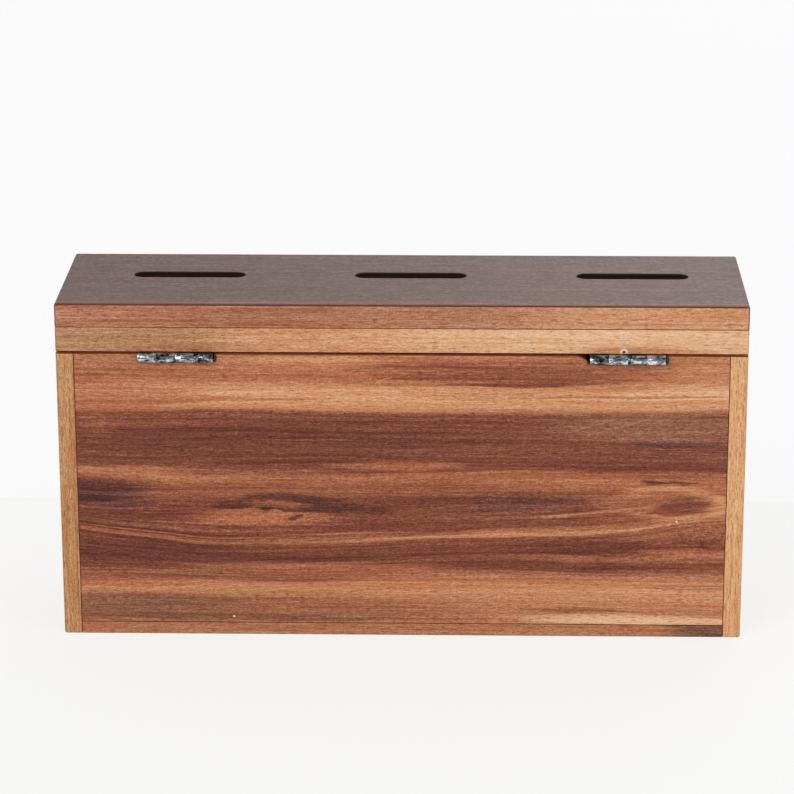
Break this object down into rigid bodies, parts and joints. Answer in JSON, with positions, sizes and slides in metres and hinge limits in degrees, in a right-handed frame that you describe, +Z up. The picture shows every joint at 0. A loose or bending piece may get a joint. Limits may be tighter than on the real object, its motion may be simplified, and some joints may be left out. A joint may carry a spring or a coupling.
{
  "type": "coin box",
  "caption": "Wooden coin box with a hinged lid, a row of round-ended coin slots in its top, dividers for separate compartments inside and small steel butt hinges at the back.",
  "frame": {"origin": "middle of the base, on the surface that the box stands on", "axes": "+Z up, +X along the box to its right end as seen from the front, -Y towards the front, +Y towards the hinges"},
  "size_m": [0.23, 0.0667, 0.117],
  "materials": {
    "heartwood": "acacia heartwood, sanded, thin oil",
    "sapwood": "paler acacia, sanded, thin oil",
    "zinc_plated_steel": "dull zinc plating"
  },
  "bodies": {
    "box": {"bottom_board": "heartwood", "left_end_board": "sapwood", "right_end_board": "sapwood", "front_board": "heartwood", "back_board": "heartwood", "left_divider": "heartwood", "right_divider": "heartwood", "left_hinge_box_leaf": "zinc_plated_steel", "left_hinge_pin": "zinc_plated_steel", "left_hinge_box_screws": "zinc_plated_steel", "right_hinge_box_leaf": "zinc_plated_steel", "right_hinge_pin": "zinc_plated_steel", "right_hinge_box_screws": "zinc_plated_steel"},
    "lid": {"lid_top_board": "heartwood", "lid_front_rail": "sapwood", "lid_back_rail": "sapwood", "lid_left_rail": "sapwood", "lid_right_rail": "sapwood", "left_hinge_lid_leaf": "zinc_plated_steel", "left_hinge_lid_screws": "zinc_plated_steel", "right_hinge_lid_leaf": "zinc_plated_steel", "right_hinge_lid_screws": "zinc_plated_steel"}
  },
  "joints": [
    {"name": "lid_hinge", "type": "hinge", "parent": "box", "child": "lid", "pos_m": [0, 0.033, 0.0988], "axis": [-1, 0, 0], "range_deg": [0, 180]}
  ]
}
